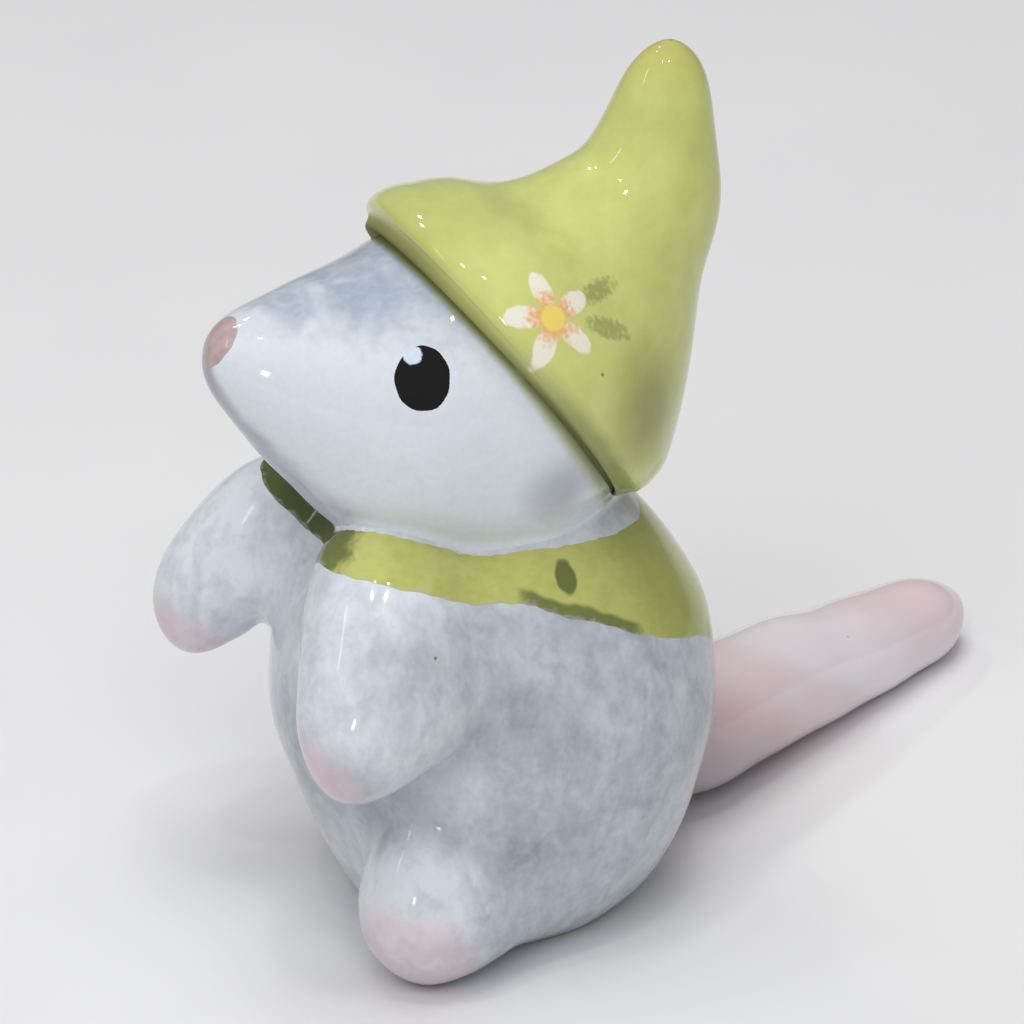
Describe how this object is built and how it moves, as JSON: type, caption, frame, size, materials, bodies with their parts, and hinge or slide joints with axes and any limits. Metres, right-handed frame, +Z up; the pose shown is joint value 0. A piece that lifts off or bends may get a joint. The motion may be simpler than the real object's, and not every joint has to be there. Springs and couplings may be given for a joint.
{
  "type": "possum figurine",
  "caption": "Seated clay possum in a bent pointed hat and a painted scarf, tail lying out behind; a small glossy glazed ornament that stands free on its flat base.",
  "frame": {"origin": "middle of the flat under the body, on the surface that the figurine stands on", "axes": "+Z up, the possum faces -Y, its left side is +X, the tail runs out towards +Y"},
  "size_m": [0.039, 0.0702, 0.0615],
  "materials": {
    "body_glaze": "grey brushed wash under clear gloss glaze",
    "scarf_glaze": "yellow-green brushed colour under clear gloss glaze",
    "head_glaze": "white with a blue-grey wash under clear gloss glaze",
    "hat_glaze": "yellow-green under clear gloss glaze",
    "nose_glaze": "dusty pink under clear gloss glaze",
    "eye_glaze": "black under clear gloss glaze",
    "arm_glaze": "pale grey wash with a pink paw under clear gloss glaze",
    "leg_glaze": "pale grey wash with a pink toe under clear gloss glaze",
    "tail_glaze": "pale pink under clear gloss glaze"
  },
  "bodies": {
    "root": {"body": "body_glaze", "scarf": "scarf_glaze", "head": "head_glaze", "hat": "hat_glaze", "nose": "nose_glaze", "left_eye": "eye_glaze", "right_eye": "eye_glaze", "left_arm": "arm_glaze", "right_arm": "arm_glaze", "left_leg": "leg_glaze", "right_leg": "leg_glaze", "tail": "tail_glaze"}
  },
  "joints": []
}
